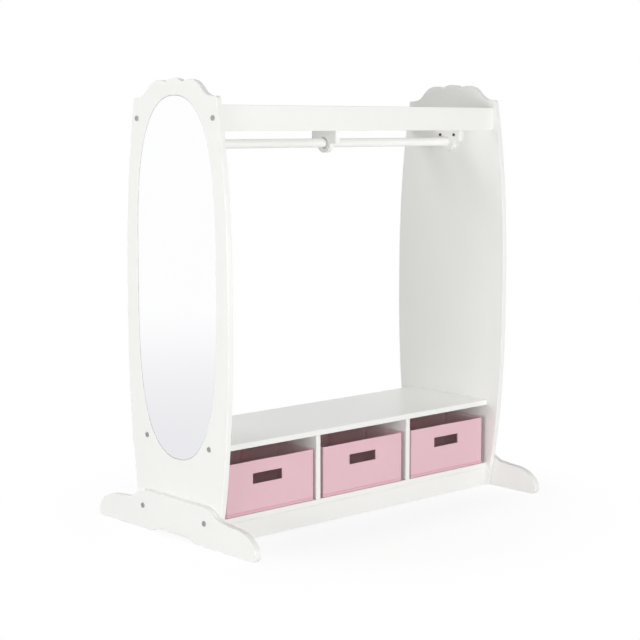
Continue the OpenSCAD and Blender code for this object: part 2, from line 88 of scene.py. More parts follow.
def stretched(tree, place, scale, turn=(0, 0, 0)):
    return put(tree, "ShaderNodeMapping", Vector=place, Rotation=turn, Scale=scale).outputs[0]


def noiseTexture(tree, place, scale=1.0, detail=2.0, roughness=0.5):
    return put(tree, "ShaderNodeTexNoise", Vector=place, Scale=scale, Detail=detail,
               Roughness=roughness).outputs["Fac"]


def bumpFrom(tree, height, strength, distance, **more):
    return put(tree, "ShaderNodeBump", Strength=strength, Distance=distance, Height=height,
               **more).outputs[0]


def newGroup(name, inputs, outputs):
    group = bpy.data.node_groups.new(name, "ShaderNodeTree")
    for label, kind, value in inputs:
        group.interface.new_socket(label, in_out="INPUT", socket_type=kind).default_value = value
    for label, kind in outputs:
        group.interface.new_socket(label, in_out="OUTPUT", socket_type=kind)
    return group, group.nodes.new("NodeGroupInput"), group.nodes.new("NodeGroupOutput")


def useGroup(tree, group, **inputs):
    return put(tree, "ShaderNodeGroup", {"node_tree": group}, **inputs)


def newMaterial(name, **constants):
    material = bpy.data.materials.new(name)
    material.use_nodes = True
    tree = material.node_tree
    return material, tree, setInputs(tree, tree.nodes["Principled BSDF"], **constants)


def srgb(r, g, b):  # a colour as it is read off a picture, 0 to 255
    return [((c / 255 + 0.055) / 1.055) ** 2.4 if c > 10 else c / 255 / 12.92 for c in (r, g, b)] + [1]


# shared effects; scales are per metre, shares are parts of one

sprayed = {
    "cloud": 5.0, "runs": (40, 40, 3), "runShare": 0.3, "peel": 420.0, "mist": 2400.0, "mistShare": 0.25,
    "peelDeep": 0.00012, "edgeTurn": (0.99, 0.86), "edgeSamples": 4, "chips": 75.0, "chipRange": (0.42, 0.66),
    "leastWear": 0.15,
}


def makeFinishGroup(look):  # faint mottling, fine orange peel, and a mask of the rubbed edges
    group, given, out = newGroup(
        "sprayedFinish",
        [("Peel", "NodeSocketFloat", 0.2), ("Edge", "NodeSocketFloat", 0.001)],
        [("Mottle", "NodeSocketFloat"), ("Rubbed", "NodeSocketFloat"), ("Normal", "NodeSocketVector")])
    place = objectPlace(group)
    cloud = noiseTexture(group, place, look["cloud"], 4.0, 0.6)
    runs = noiseTexture(group, stretched(group, place, look["runs"]), detail=3.0)
    peel = noiseTexture(group, place, look["peel"])
    mist = noiseTexture(group, place, look["mist"], 1.0)
    height = calc(group, "MULTIPLY_ADD", mist, look["mistShare"], peel)
    rounded = put(group, "ShaderNodeBevel", {"samples": look["edgeSamples"]},
                  Radius=given.outputs["Edge"]).outputs[0]
    flat = put(group, "ShaderNodeNewGeometry").outputs["Normal"]
    turn = put(group, "ShaderNodeVectorMath", {"operation": "DOT_PRODUCT"}, i0=rounded, i1=flat)
    edge = remap(group, turn.outputs["Value"], *look["edgeTurn"])
    chips = noiseTexture(group, place, look["chips"], 5.0)
    wear = remap(group, chips, *look["chipRange"], look["leastWear"])
    setInputs(group, out,
              Mottle=blendValue(group, cloud, runs, look["runShare"]),
              Rubbed=calc(group, "MULTIPLY", edge, wear),
              Normal=bumpFrom(group, height, given.outputs["Peel"], look["peelDeep"], Normal=rounded))
    return group


plainWeave = {
    "bend": 0.0012, "bendScale": 60.0, "roundness": 2.4, "dip": 0.55, "gap": 0.28, "slub": (900, 60, 1),
}


def makeWeaveGroup(look):  # threads over and under each other, by the piece's own map in metres; Gap marks the low hollows between threads, where the fabrics paint shade
    group, given, out = newGroup(
        "plainWeave",
        [("Pitch", "NodeSocketFloat", 0.0008)],
        [("Height", "NodeSocketFloat"), ("Gap", "NodeSocketFloat"), ("Slub", "NodeSocketFloat")])
    place = put(group, "ShaderNodeTexCoord").outputs["UV"]
    drift = put(group, "ShaderNodeTexNoise", Vector=place, Scale=look["bendScale"], Detail=2.0)
    bent = put(group, "ShaderNodeVectorMath", {"operation": "MULTIPLY_ADD"}, i0=drift.outputs["Color"],
               i1=(look["bend"], look["bend"], 0.0), i2=place)
    split = put(group, "ShaderNodeSeparateXYZ", Vector=bent.outputs[0])
    threads = []
    for axis in ("X", "Y"):
        count = calc(group, "DIVIDE", split.outputs[axis], given.outputs["Pitch"])
        across = calc(group, "MULTIPLY_ADD", calc(group, "FRACT", count), 2.0, -1.0)
        fall = calc(group, "POWER", calc(group, "ABSOLUTE", across), look["roundness"])
        threads.append((calc(group, "FLOOR", count), calc(group, "SUBTRACT", 1.0, fall)))
    (warpRow, warpHump), (weftRow, weftHump) = threads
    parity = calc(group, "ABSOLUTE", calc(group, "MODULO", calc(group, "ADD", warpRow, weftRow), 2.0))
    over, under = [
        calc(group, "MULTIPLY", upper, calc(group, "MULTIPLY_ADD", lower, look["dip"], 1 - look["dip"]))
        for upper, lower in ((warpHump, weftHump), (weftHump, warpHump))]
    height = put(group, "ShaderNodeMix", {"data_type": "FLOAT"}, i0=parity, i2=over, i3=under).outputs[0]
    setInputs(group, out, Height=height, Gap=remap(group, height, look["gap"], 0.0),
              Slub=noiseTexture(group, stretched(group, place, look["slub"])))
    return group


turnedWood = {"along": (0.08, 1, 1), "wobble": 90.0, "wobbleShare": 0.4, "bend": 3.0, "pores": 2200.0}


def makeGrainGroup(look):  # turned dowel wood, its grain along X
    group, given, out = newGroup("dowelGrain", [("Rings", "NodeSocketFloat", 300.0)],
                                 [("Grain", "NodeSocketFloat"), ("Pore", "NodeSocketFloat")])
    drawn = stretched(group, objectPlace(group), look["along"])
    wobble = noiseTexture(group, drawn, look["wobble"], 3.0)
    bands = put(group, "ShaderNodeTexWave", {"wave_type": "BANDS", "bands_direction": "DIAGONAL"},
                Vector=drawn, Scale=given.outputs["Rings"], Distortion=look["bend"], Detail=3.0)
    setInputs(group, out, Grain=blendValue(group, bands.outputs["Fac"], wobble, look["wobbleShare"]),
              Pore=noiseTexture(group, drawn, look["pores"], 1.0))
    return group


finishGroup = makeFinishGroup(sprayed)
weaveGroup = makeWeaveGroup(plainWeave)
grainGroup = makeGrainGroup(turnedWood)
print("shared effects ready:", len(bpy.data.node_groups))


# materials

lacquer = {
    "light": srgb(243, 243, 240), "dark": srgb(238, 238, 235), "rubbed": srgb(226, 222, 212), "wear": 0.30,
    "peel": 0.25, "edge": 0.0016, "mottle": (0.3, 0.7), "rough": (0.31, 0.42),
}


def makePaint(name, look):
    material, tree, shader = newMaterial(name, IOR=1.47, Coat_Weight=0.12, Coat_Roughness=0.22)
    finish = useGroup(tree, finishGroup, Peel=look["peel"], Edge=look["edge"])
    tone = blendColor(tree, finish.outputs["Mottle"], look["dark"], look["light"])
    wear = calc(tree, "MULTIPLY", finish.outputs["Rubbed"], look["wear"])
    setInputs(tree, shader, Base_Color=blendColor(tree, wear, tone, look["rubbed"]),
              Roughness=remap(tree, finish.outputs["Mottle"], *look["mottle"], *look["rough"]),
              Normal=finish.outputs["Normal"])
    return material


plating = {
    "rubbed": srgb(214, 214, 212), "wear": 0.6, "peel": 0.15, "edge": 0.0006, "scratch": (500, 500, 6000),
    "scratchRough": 0.18, "metal": 0.88, "mottleMetal": 0.10,
}
zinc = {**plating, "light": srgb(184, 184, 184), "dark": srgb(148, 148, 150), "rough": 0.25}
blacking = {**plating, "light": srgb(88, 88, 90), "dark": srgb(64, 64, 66), "rough": 0.33}


def makeSteel(name, look):
    material, tree, shader = newMaterial(name, IOR=2.2)
    finish = useGroup(tree, finishGroup, Peel=look["peel"], Edge=look["edge"])
    scratch = noiseTexture(tree, stretched(tree, objectPlace(tree), look["scratch"]))
    tone = blendColor(tree, scratch, look["dark"], look["light"])
    wear = calc(tree, "MULTIPLY", finish.outputs["Rubbed"], look["wear"])
    metal = calc(tree, "MULTIPLY_ADD", finish.outputs["Mottle"], look["mottleMetal"], look["metal"])
    setInputs(tree, shader, Base_Color=blendColor(tree, wear, tone, look["rubbed"]), Metallic=metal,
              Roughness=calc(tree, "MULTIPLY_ADD", scratch, look["scratchRough"], look["rough"]),
              Normal=finish.outputs["Normal"])
    return material


cloth = {
    "pitch": 0.0008, "gapShare": 0.55, "cloud": 14.0, "cloudShare": 0.55, "rough": 0.93, "threadRough": -0.12,
    "fuzz": 1600.0, "fuzzShare": 0.25, "bump": 0.5, "deep": 0.0003,
}
# the gap colours are painted shade, laid where the weave sits lowest between the threads
canvas = {**cloth, "light": srgb(236, 199, 207), "dark": srgb(228, 189, 198), "gap": srgb(200, 140, 152)}
hemTape = {**cloth, "light": srgb(236, 190, 201), "dark": srgb(229, 178, 191), "gap": srgb(196, 130, 146)}
lining = {**cloth, "light": srgb(247, 217, 219), "dark": srgb(239, 205, 208), "gap": srgb(212, 164, 168)}
yarn = {
    **cloth, "light": srgb(238, 200, 209), "dark": srgb(224, 178, 190), "gap": srgb(190, 128, 142),
    "pitch": 0.0004, "bump": 0.3,
}


def makeFabric(name, look):
    material, tree, shader = newMaterial(name, IOR=1.45, Sheen_Weight=0.14, Sheen_Roughness=0.5,
                                         Specular_IOR_Level=0.25)
    weave = useGroup(tree, weaveGroup, Pitch=look["pitch"])
    place = objectPlace(tree)
    cloud = noiseTexture(tree, place, look["cloud"], 4.0, 0.6)
    fading = blendValue(tree, weave.outputs["Slub"], cloud, look["cloudShare"])
    tone = blendColor(tree, fading, look["dark"], look["light"])
    # painted shade in the hollows between threads, darker where the weave is lowest
    between = calc(tree, "MULTIPLY", weave.outputs["Gap"], look["gapShare"])
    fuzz = noiseTexture(tree, place, look["fuzz"])
    height = calc(tree, "MULTIPLY_ADD", fuzz, look["fuzzShare"], weave.outputs["Height"])
    rough = calc(tree, "MULTIPLY_ADD", weave.outputs["Height"], look["threadRough"], look["rough"])
    setInputs(tree, shader, Base_Color=blendColor(tree, between, tone, look["gap"]), Roughness=rough,
              Normal=bumpFrom(tree, height, look["bump"], look["deep"]))
    return material


silver = {
    "light": srgb(255, 255, 255), "dark": srgb(252, 252, 254), "cloud": 7.0, "wipe": (1, 30, 2.2),
    "wipeTurn": (0.5, 0, 0), "wipeShare": 0.4, "film": (0.45, 0.75), "rough": (0.006, 0.03),
    "wave": 5.0, "bump": 0.04, "deep": 0.0006,
}


def makeMirror(name, look):
    material, tree, shader = newMaterial(name, Metallic=1.0, IOR=1.5, Coat_Weight=0.35, Coat_Roughness=0.02)
    place = objectPlace(tree)
    cloud = noiseTexture(tree, place, look["cloud"], 5.0, 0.65)
    wipe = noiseTexture(tree, stretched(tree, place, look["wipe"], look["wipeTurn"]), detail=3.0)
    film = blendValue(tree, cloud, wipe, look["wipeShare"])
    wave = noiseTexture(tree, place, look["wave"], 1.0)
    setInputs(tree, shader, Base_Color=blendColor(tree, film, look["dark"], look["light"]),
              Roughness=remap(tree, film, *look["film"], *look["rough"]),
              Normal=bumpFrom(tree, wave, look["bump"], look["deep"]))
    return material


def dressBy(tree, shader, pattern, tone, look):  # roughness and relief follow one pattern
    setInputs(tree, shader, Base_Color=tone,
              Roughness=calc(tree, "MULTIPLY_ADD", pattern, look["roughMore"], look["rough"]),
              Normal=bumpFrom(tree, pattern, look["bump"], look["deep"]))


groundGlass = {
    "light": srgb(220, 230, 226), "dark": srgb(184, 200, 195), "grit": 300.0, "rough": 0.12, "roughMore": 0.2,
    "bump": 0.1, "deep": 0.0002,
}


def makeGlassEdge(name, look):
    material, tree, shader = newMaterial(name, IOR=1.52, Coat_Weight=0.6, Coat_Roughness=0.05)
    grit = noiseTexture(tree, objectPlace(tree), look["grit"], 3.0)
    dressBy(tree, shader, grit, blendColor(tree, grit, look["dark"], look["light"]), look)
    return material


bareWood = {
    "light": srgb(222, 196, 156), "dark": srgb(190, 158, 116), "pore": srgb(150, 118, 82), "poreShare": 0.25,
    "rings": 320.0, "rough": 0.55, "roughMore": 0.2, "bump": 0.4, "deep": 0.0002,
}


def makeDowelWood(name, look):
    material, tree, shader = newMaterial(name, IOR=1.45)
    wood = useGroup(tree, grainGroup, Rings=look["rings"])
    tone = blendColor(tree, wood.outputs["Grain"], look["dark"], look["light"])
    pores = calc(tree, "MULTIPLY", wood.outputs["Pore"], look["poreShare"])
    dressBy(tree, shader, wood.outputs["Pore"], blendColor(tree, pores, tone, look["pore"]), look)
    return material


foam = {
    "light": srgb(232, 232, 228), "dark": srgb(206, 206, 200), "cells": 1400.0, "rough": 0.75,
    "roughMore": 0.15, "bump": 0.5, "deep": 0.0002,
}


def makeFoamTape(name, look):
    material, tree, shader = newMaterial(name, IOR=1.4)
    foamed = put(tree, "ShaderNodeTexVoronoi", Vector=objectPlace(tree), Scale=look["cells"])
    cells = foamed.outputs["Distance"]
    dressBy(tree, shader, cells, blendColor(tree, cells, look["dark"], look["light"]), look)
    return material


whitePaint = makePaint("whiteLacquer", lacquer)
steel = makeSteel("zincSteel", zinc)
blackedSteel = makeSteel("blackedSteel", blacking)
pinkCloth = makeFabric("pinkCanvas", canvas)
hemCloth = makeFabric("pinkHem", hemTape)
liningCloth = makeFabric("pinkLining", lining)
thread = makeFabric("pinkThread", yarn)
mirrorFace = makeMirror("mirrorSilver", silver)
glassEdge = makeGlassEdge("glassEdge", groundGlass)
dowelWood = makeDowelWood("dowelWood", bareWood)
foamTape = makeFoamTape("foamTape", foam)
print("materials ready:", len(bpy.data.materials))


# small helpers for meshes and objects

touch = 1e-5  # points nearer than this, in metres, lie on one plane


def meshFrom(bm, name):
    mesh = bpy.data.meshes.new(name)
    bm.to_mesh(mesh)
    bm.free()
    return mesh


def newObject(name, data):
    made = bpy.data.objects.new(name, data)
    bpy.context.scene.collection.objects.link(made)
    return made


def addModifier(piece, name, kind, **settings):
    modifier = piece.modifiers.new(name, kind)
    for key, value in settings.items():
        setattr(modifier, key, value)


def roundEdges(bm, edges, radius, segments, **more):
    bmesh.ops.bevel(bm, geom=edges, offset=radius, offset_type="OFFSET", segments=segments, profile=0.5,
                    affect="EDGES", material=-1, **more)


def addBox(bm, low, high):
    made = bmesh.ops.create_cube(bm, size=1)["verts"]
    bmesh.ops.scale(bm, vec=high - low, verts=made)
    bmesh.ops.translate(bm, vec=(low + high) / 2, verts=made)


def finishMesh(name, bm, body, materials, smoothAngle=40, weighted=True):
    mesh = meshFrom(bm, name)
    for label in ("custom_normal", "sharp_edge", "sharp_face"):  # what a copy brings from its CAD node
        if mesh.attributes.get(label):
            mesh.attributes.remove(mesh.attributes[label])
    for material in materials:
        mesh.materials.append(material)
    mesh.shade_smooth()
    mesh.set_sharp_from_angle(angle=math.radians(smoothAngle))
    piece = newObject(name, mesh)
    if weighted:
        addModifier(piece, "evenShade", "WEIGHTED_NORMAL", keep_sharp=True, weight=100)
    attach(piece, body)
    return piece


# painted boards: each one's own shape with its corners eased by this radius

boards = {
    "left_side_panel": 0.0014, "right_side_panel": 0.0014, "left_foot": 0.0016, "right_foot": 0.0016,
    "front_top_rail": 0.0012, "rear_top_rail": 0.0012, "rod_hanger": 0.0012, "left_rod_block": 0.0012,
    "right_rod_block": 0.0012, "bench_top": 0.0012, "bottom_shelf": 0.0007, "front_apron": 0.0007,
    "rear_apron": 0.0012, "back_panel": 0.0006, "left_divider": 0.0010, "right_divider": 0.0010,
}
easing = {
    "weld": 1e-6, "flat": math.radians(0.05), "corner": math.radians(35), "shortest": 0.0020, "segments": 3,
}


# the node's solid, its flat faces whole again and its long outer edges rounded
def easedCopy(nodeName, radius, shortest=easing["shortest"], segments=easing["segments"]):
    bm = bmesh.new()
    bm.from_mesh(nodes[nodeName].data)
    bmesh.ops.remove_doubles(bm, verts=bm.verts, dist=easing["weld"])
    bmesh.ops.dissolve_limit(bm, angle_limit=easing["flat"], use_dissolve_boundaries=False,
                             verts=bm.verts, edges=bm.edges, delimit=set())
    corners = [e for e in bm.edges if e.is_manifold and e.is_convex and e.calc_length() > shortest
               and e.calc_face_angle() > easing["corner"]]
    roundEdges(bm, corners, radius, segments, clamp_overlap=False, loop_slide=True)
    return bm


for nodeName, radius in boards.items():
    first, *rest = nodeName.split("_")
    pieceName = first + "".join(word.capitalize() for word in rest) + "Board"
    board = finishMesh(pieceName, easedCopy(nodeName, radius), "frame", [whitePaint])
    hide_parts(nodeName)
print("boards eased:", len(boards))


# mirror pane with a ground edge

pane = {"arris": 0.0005, "shortest": 0.003, "segments": 2, "smooth": 60, "sideways": 0.95}
bm = easedCopy("mirror_glass", pane["arris"], pane["shortest"], pane["segments"])
for face in bm.faces:
    face.material_index = 0 if abs(face.normal.x) > pane["sideways"] else 1
mirrorPane = finishMesh("mirrorPane", bm, "frame", [mirrorFace, glassEdge], pane["smooth"])
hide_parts("mirror_glass")
print("mirror pane made")


# fabric bins

bins = {
    "left_bin": {"body": "left_bin_box", "slotShift": -0.011},
    "middle_bin": {"body": "middle_bin_box", "slotShift": -0.0025},
    "right_bin": {"body": "right_bin_box", "slotShift": -0.0045},
}
binMake = {
    "corner": 0.0035, "cornerSteps": 4, "foot": 0.0022, "footSteps": 2, "wall": 0.0036, "step": 0.0090,
    "edgeStep": 0.0005, "slotW": 0.101, "slotH": 0.028, "slotZ": 0.091, "rim": 0.0011, "rimSteps": 3,
    "rimTurn": math.radians(50), "hemH": 0.0085, "hemThick": 0.0007, "hemGap": 0.0001,
}
creases = {  # ripples are noise with a scale and a start, the slow one broad and the quick one small
    "right": 0.0050, "left": 0.0012, "foldHalf": 0.0015, "foldDeep": 0.0011, "rise": 0.7,
    "belly": 0.0006, "bellyFall": 0.3, "wave": 0.0007, "sideWave": 0.8, "rimWave": 0.0004, "quickShare": 0.35,
    "slow": (11, 11, 17), "slowStart": (3.7, 1.9, 5.2), "quick": (42, 42, 30), "quickStart": (8.1, 2.4, 0.6),
    "onWall": 0.97, "onRim": 0.99,
}


def ripple(point, scale, start):
    return noise.noise(Vector([p * s for p, s in zip(point, scale)]) + Vector(start))


def wallPush(point, low, high):  # how far the cloth over the boards stands off its flat place
    mid, span = (low + high) / 2, high - low
    side = Vector(((point.x - mid.x) / (span.x / 2), (point.y - mid.y) / (span.y / 2),
                   (point.z - low.z) / span.z))
    push = Vector((0, 0, 0))
    rise = max(0.0, min(1.0, side.z)) ** creases["rise"]
    slow = ripple(point, creases["slow"], creases["slowStart"])
    quick = ripple(point, creases["quick"], creases["quickStart"])
    wave = creases["wave"] * (slow + creases["quickShare"] * quick)
    if abs(side.x) > creases["onWall"]:  # both side walls lean to the right and fold outwards at their middle
        lean = creases["right"] if side.x > 0 else creases["left"]
        fold = max(0.0, 1 - abs(point.y - mid.y) / creases["foldHalf"]) * creases["foldDeep"]
        push.x = lean * max(0.0, 1 - abs(side.y)) * rise + wave * creases["sideWave"]
        push.x += math.copysign(fold, side.x)
    if abs(side.y) > creases["onWall"]:  # front and rear walls stay flatter
        belly = (1 - side.x ** 2) * rise * (1 - creases["bellyFall"] * rise)
        push.y = math.copysign(1, side.y) * -creases["belly"] * belly + wave
    if side.z > creases["onRim"]:
        push.z = creases["rimWave"] * slow
    return push


levelFace = 0.7  # a face whose normal has more height than this counts as level


def mapCloth(bm):  # a map in metres on each wall, so that the weave runs level and upright
    layer = bm.loops.layers.uv.new("cloth")
    for face in bm.faces:
        n = face.normal
        for loop in face.loops:
            p = loop.vert.co
            if abs(n.z) > levelFace:
                loop[layer].uv = (p.x, p.y)
            elif abs(n.x) > abs(n.y):
                loop[layer].uv = (p.y, p.z)
            else:
                loop[layer].uv = (p.x, p.z)


def cutEvery(bm, axis, places):
    for place in places:
        point, normal = Vector((0, 0, 0)), Vector((0, 0, 0))
        point[axis], normal[axis] = place, 1
        bmesh.ops.bisect_plane(bm, geom=bm.verts[:] + bm.edges[:] + bm.faces[:], dist=touch,
                               plane_co=point, plane_no=normal)


def evenPlaces(start, end, step, kept=()):  # even places between two ends that also pass the kept ones
    marks = sorted([start, end, *kept])
    places = []
    for a, b in zip(marks, marks[1:]):
        count = max(1, round((b - a) / step))
        places += [a + (b - a) * i / count for i in range(count)]
    return places[1:]


def tallEdges(bm, low, high):  # the upright edges that run over more than half the bin's height
    return [e for e in bm.edges if abs(e.verts[0].co.z - e.verts[1].co.z) > (high.z - low.z) / 2]


def binWalls(low, high, shift=0.0):
    make = binMake
    mid = (low + high) / 2
    bm = bmesh.new()
    addBox(bm, low, high)
    bmesh.ops.delete(bm, geom=[f for f in bm.faces if f.normal.z > levelFace], context="FACES_ONLY")
    roundEdges(bm, tallEdges(bm, low, high), make["corner"], make["cornerSteps"])
    lower = [e for e in bm.edges if max(v.co.z for v in e.verts) < low.z + touch]
    roundEdges(bm, lower, make["foot"], make["footSteps"])
    edge = make["corner"] + make["edgeStep"]
    slotX = (mid.x + shift - make["slotW"] / 2, mid.x + shift + make["slotW"] / 2)
    slotZ = (low.z + make["slotZ"] - make["slotH"] / 2, low.z + make["slotZ"] + make["slotH"] / 2)
    folds = (mid.y - creases["foldHalf"], mid.y, mid.y + creases["foldHalf"])
    cutEvery(bm, 0, evenPlaces(low.x + edge, high.x - edge, make["step"], slotX))
    cutEvery(bm, 1, evenPlaces(low.y + edge, high.y - edge, make["step"], folds))
    cutEvery(bm, 2, evenPlaces(low.z + make["foot"], high.z, make["step"], (low.z + make["hemH"],) + slotZ))
    hole = []
    for face in bm.faces:
        x, y, z = face.calc_center_median()
        if y < low.y + touch and slotX[0] < x < slotX[1] and slotZ[0] < z < slotZ[1]:
            hole.append(face)
    bmesh.ops.delete(bm, geom=hole, context="FACES")
    bmesh.ops.recalc_face_normals(bm, faces=bm.faces)  # on an open shell they can all turn inwards
    if sum(f.normal.dot(f.calc_center_median() - mid) for f in bm.faces) < 0:
        bmesh.ops.reverse_faces(bm, faces=bm.faces)
    mapCloth(bm)
    for vert in bm.verts:
        vert.co += wallPush(vert.co, low, high)
    return bm


sewing = {
    "pitch": 0.0042, "length": 0.0031, "thick": 0.0007, "flat": 0.9, "proud": 0.00011, "topRow": 0.0085,
    "hemRow": 0.0068, "sideRow": 0.0055, "sideEnd": 0.012, "slotRow": 0.0045, "smooth": 80,
}


def oneStitch():
    bm = bmesh.new()
    bmesh.ops.create_uvsphere(bm, u_segments=6, v_segments=4, radius=0.5)
    bmesh.ops.rotate(bm, matrix=Matrix.Rotation(math.radians(90), 3, "Y"), verts=bm.verts)
    size = (sewing["length"], sewing["thick"], sewing["thick"] * sewing["flat"])
    bmesh.ops.scale(bm, vec=size, verts=bm.verts)
    return meshFrom(bm, "stitch")


stitchMesh = oneStitch()


def stitchLine(bm, start, end, normal, low, high):  # one short thread at each place along the row
    start, end, normal = Vector(start), Vector(end), Vector(normal)
    along = (end - start).normalized()
    basis = Matrix((along, normal.cross(along), normal)).transposed().to_4x4()
    count = max(2, int((end - start).length / sewing["pitch"]))
    for i in range(count):
        point = start.lerp(end, (i + 0.5) / count)
        place = point + wallPush(point, low, high) + normal * sewing["proud"]
        single = stitchMesh.copy()
        single.transform(Matrix.Translation(place) @ basis)
        bm.from_mesh(single)
        bpy.data.meshes.remove(single)


def binSewing(low, high, shift):  # rows round the top and the hem, up the sides and round the slot
    make = binMake
    bm = bmesh.new()
    left, right, front, rear = (-1, 0, 0), (1, 0, 0), (0, -1, 0), (0, 1, 0)
    x0, x1 = low.x + make["corner"], high.x - make["corner"]
    y0, y1 = low.y + make["corner"], high.y - make["corner"]
    for z, out in ((high.z - sewing["topRow"], 0.0), (low.z + sewing["hemRow"], make["hemThick"])):
        stitchLine(bm, (x0, low.y - out, z), (x1, low.y - out, z), front, low, high)
        stitchLine(bm, (x1, high.y + out, z), (x0, high.y + out, z), rear, low, high)
        stitchLine(bm, (low.x - out, y1, z), (low.x - out, y0, z), left, low, high)
        stitchLine(bm, (high.x + out, y0, z), (high.x + out, y1, z), right, low, high)
    z0, z1 = low.z + sewing["sideEnd"], high.z - sewing["sideEnd"]
    for x in (low.x + sewing["sideRow"], high.x - sewing["sideRow"]):
        stitchLine(bm, (x, low.y, z0), (x, low.y, z1), front, low, high)
        stitchLine(bm, (x, high.y, z0), (x, high.y, z1), rear, low, high)
    slotX, slotZ = (low.x + high.x) / 2 + shift, low.z + make["slotZ"]
    halfW, halfH = make["slotW"] / 2 + sewing["slotRow"], make["slotH"] / 2 + sewing["slotRow"]
    ring = [(slotX + i * halfW, low.y, slotZ + j * halfH) for i, j in ((-1, -1), (1, -1), (1, 1), (-1, 1))]
    for a, b in zip(ring, ring[1:] + ring[:1]):
        stitchLine(bm, a, b, front, low, high)
    mapCloth(bm)
    return bm


def binHem(low, high):  # the folded band round the foot of the walls
    bm = binWalls(low, high)
    top = low.z + binMake["hemH"]
    spare = [f for f in bm.faces if f.calc_center_median().z > top or abs(f.normal.z) > levelFace]
    bmesh.ops.delete(bm, geom=spare, context="FACES")
    for vert in bm.verts:
        vert.co += vert.normal * binMake["hemGap"]
    return bm


flap = {
    "width": 0.0105, "thick": 0.0014, "in": 0.0060, "gap": 0.0002, "shorter": 0.016, "lift": 0.001,
    "cuts": 14, "waveScale": 38, "wave": 0.0005, "edge": 0.0004, "edgeSteps": 2,
}


def cornerFlaps(low, high):  # seam allowances standing across the inner corners
    bm = bmesh.new()
    inner = binMake["wall"] + flap["gap"] + flap["in"] / 2
    size = (flap["width"], flap["thick"], high.z - low.z - flap["shorter"])
    for sx, x in ((-1, low.x), (1, high.x)):
        for sy, y in ((-1, low.y), (1, high.y)):
            made = bmesh.ops.create_cube(bm, size=1)["verts"]
            bmesh.ops.scale(bm, vec=size, verts=made)
            turn = Matrix.Rotation(math.atan2(sy, -sx), 4, "Z")
            place = Vector((x - sx * inner, y - sy * inner, (low.z + high.z) / 2 + flap["lift"]))
            bmesh.ops.transform(bm, matrix=Matrix.Translation(place) @ turn, verts=made)
    bmesh.ops.subdivide_edges(bm, edges=tallEdges(bm, low, high), cuts=flap["cuts"], use_grid_fill=True)
    for vert in bm.verts:
        lean = noise.noise(vert.co * flap["waveScale"]) * flap["wave"]
        vert.co += Vector((lean, -lean, 0))
    corners = [e for e in bm.edges if e.calc_face_angle(0) > easing["corner"]]
    roundEdges(bm, corners, flap["edge"], flap["edgeSteps"])
    mapCloth(bm)
    return bm


baseMake = {
    "edge": 0.0012, "edgeSteps": 3, "margin": 0.003, "step": 0.012, "topSkin": 0.0004, "pad": 0.0005,
    "waves": ((16, 0.0006), (60, 0.0002)),
}


def baseBoard(low, high):  # the stiff base, covered in the lining cloth, which lies a little uneven on top
    make = baseMake
    bm = bmesh.new()
    addBox(bm, low, high)
    roundEdges(bm, bm.edges[:], make["edge"], make["edgeSteps"])
    cutEvery(bm, 0, evenPlaces(low.x + make["margin"], high.x - make["margin"], make["step"]))
    cutEvery(bm, 1, evenPlaces(low.y + make["margin"], high.y - make["margin"], make["step"]))
    mapCloth(bm)
    for vert in bm.verts:
        if vert.co.z > high.z - make["topSkin"]:
            uneven = sum(deep * noise.noise(vert.co * scale) for scale, deep in make["waves"])
            vert.co.z += make["pad"] + uneven
    return bm


for nodeName, given in bins.items():
    low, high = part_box(nodeName)
    baseLow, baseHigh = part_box(nodeName + "_base")
    label, body, shift = nodeName.split("_")[0], given["body"], given["slotShift"]
    walls = finishMesh(label + "BinWalls", binWalls(low, high, shift), body, [pinkCloth, liningCloth],
                       weighted=False)
    addModifier(walls, "boardInside", "SOLIDIFY", thickness=binMake["wall"], offset=-1,
                use_even_offset=True, material_offset=1)
    addModifier(walls, "foldedRim", "BEVEL", width=binMake["rim"], segments=binMake["rimSteps"],
                limit_method="ANGLE", angle_limit=binMake["rimTurn"])
    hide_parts(nodeName)
    hem = finishMesh(label + "BinHem", binHem(low, high), body, [hemCloth], weighted=False)
    addModifier(hem, "fold", "SOLIDIFY", thickness=binMake["hemThick"], offset=1)
    finishMesh(label + "BinSewing", binSewing(low, high, shift), body, [thread],
               sewing["smooth"], weighted=False)
    finishMesh(label + "BinCorners", cornerFlaps(low, high), body, [hemCloth],
               weighted=False)
    base = finishMesh(label + "BinBaseCloth", baseBoard(baseLow, baseHigh), body, [liningCloth],
                      weighted=False)
    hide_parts(nodeName + "_base")
    print(label, "bin made")


# the CAD nodes' own materials, by the name each one brings

finishes = {"white_paint": whitePaint, "dark_steel": steel, "bare_wood": dowelWood, "tape": foamTape,
            "mirror": mirrorFace, "pink_fabric": pinkCloth, "bin_board": pinkCloth}
for nodeName, node in nodes.items():
    for place in node.material_slots:
        key = place.material.name.split(".")[0]
        if key in finishes:
            place.material = blackedSteel if nodeName == "rod_block_screws" else finishes[key]
print("nodes dressed:", len(nodes))


# floor, world, light and camera

studio = {
    "floorHalf": 30.0, "near": 0.25, "far": 0.92, "shadow": 0.25, "glow": 0.783, "bounce": 0.40,
    "floorLight": 0.31, "mirrored": srgb(234, 234, 237), "mirroredNear": 0.9, "mirroredFar": 5.5, "sky": 0.18,
}
white = (1, 1, 1, 1)


def diffuse(tree, grey):
    return put(tree, "ShaderNodeBsdfDiffuse", Color=(grey, grey, grey, 1)).outputs[0]


def emission(tree, color, strength=1.0):
    return put(tree, "ShaderNodeEmission", Color=color, Strength=strength).outputs[0]


def addShaders(tree, a, b):
    return put(tree, "ShaderNodeAddShader", i0=a, i1=b).outputs[0]


def mixShaders(tree, factor, a, b):
    return put(tree, "ShaderNodeMixShader", i0=factor, i1=a, i2=b).outputs[0]


def mirrorRay(tree, path):
    return calc(tree, "MAXIMUM", path.outputs["Is Glossy Ray"], path.outputs["Is Transmission Ray"])


